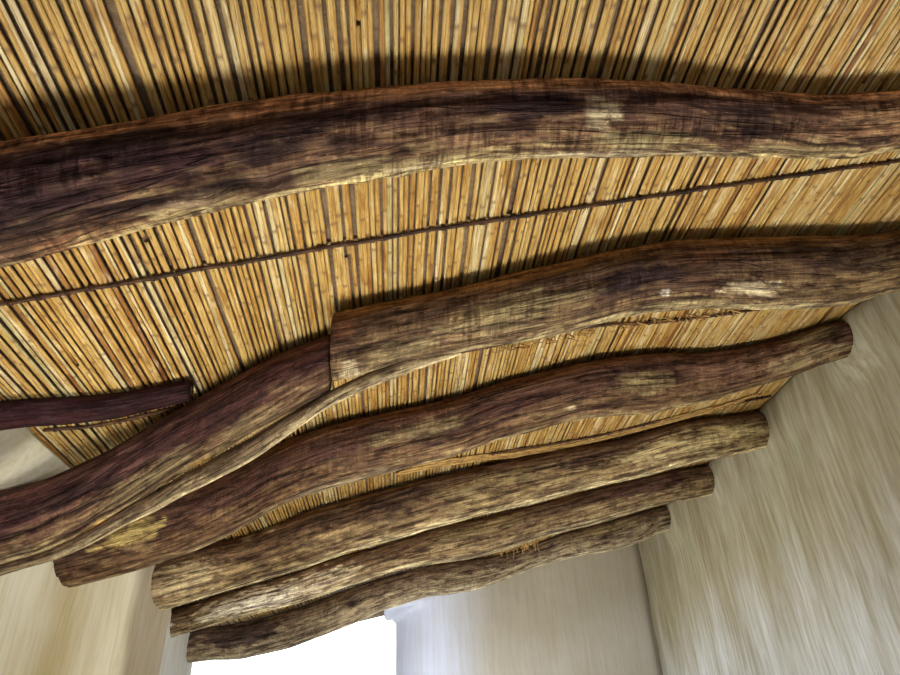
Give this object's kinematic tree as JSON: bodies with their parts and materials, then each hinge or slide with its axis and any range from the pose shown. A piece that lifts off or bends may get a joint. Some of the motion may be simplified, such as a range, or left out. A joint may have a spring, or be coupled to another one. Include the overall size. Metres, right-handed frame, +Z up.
{
  "type": "log and cane roof on adobe wall heads",
  "caption": "Mono-pitch roof of crooked log rafters under tied canes, earth and clay tiles, on the heads of lime-washed adobe walls, with a back opening.",
  "frame": {"origin": "centre of the footprint, on the level where the walls are cut, which is where the part rests", "axes": "+X up the roof slope from the low wall to the high wall, +Y in depth towards the back wall, +Z up"},
  "size_m": [4.2, 5.4, 1.9328],
  "materials": {
    "limewash_low": "matt brushed lime wash over adobe",
    "limewash_high": "matt brushed lime wash over adobe",
    "limewash_back": "matt brushed lime wash over adobe",
    "old_log": "rough smoke-dark log with grey weathered patches",
    "runner_cane": "dry cane",
    "cane": "dry golden cane, semi matt",
    "earth": "rammed earth and straw, matt",
    "clay_tile": "weathered unglazed clay"
  },
  "bodies": {
    "root": {"low_wall_near": "limewash_low", "low_wall_far": "limewash_low", "high_wall_near": "limewash_high", "high_wall_far": "limewash_high", "back_wall": "limewash_back", "rafter_near": "old_log", "rafter_1": "old_log", "rafter_short": "old_log", "rafter_2_upper": "old_log", "rafter_2_lower": "old_log", "rafter_2_splint": "old_log", "rafter_3": "old_log", "rafter_4": "old_log", "rafter_5": "old_log", "rafter_6": "old_log", "lintel_poles": "old_log", "runner_1": "runner_cane", "runner_2": "runner_cane", "runner_3": "runner_cane", "runner_4": "runner_cane", "runner_5": "runner_cane", "runner_6": "runner_cane", "runner_7": "runner_cane", "cane_mat_1": "cane", "cane_mat_2": "cane", "cane_mat_3": "cane", "cane_mat_4": "cane", "cane_mat_5": "cane", "earth_bed_low": "earth", "earth_bed_high": "earth", "tiles_near": "clay_tile", "tiles_middle": "clay_tile", "tiles_back": "clay_tile", "top_edge_tiles": "clay_tile"}
  },
  "joints": []
}
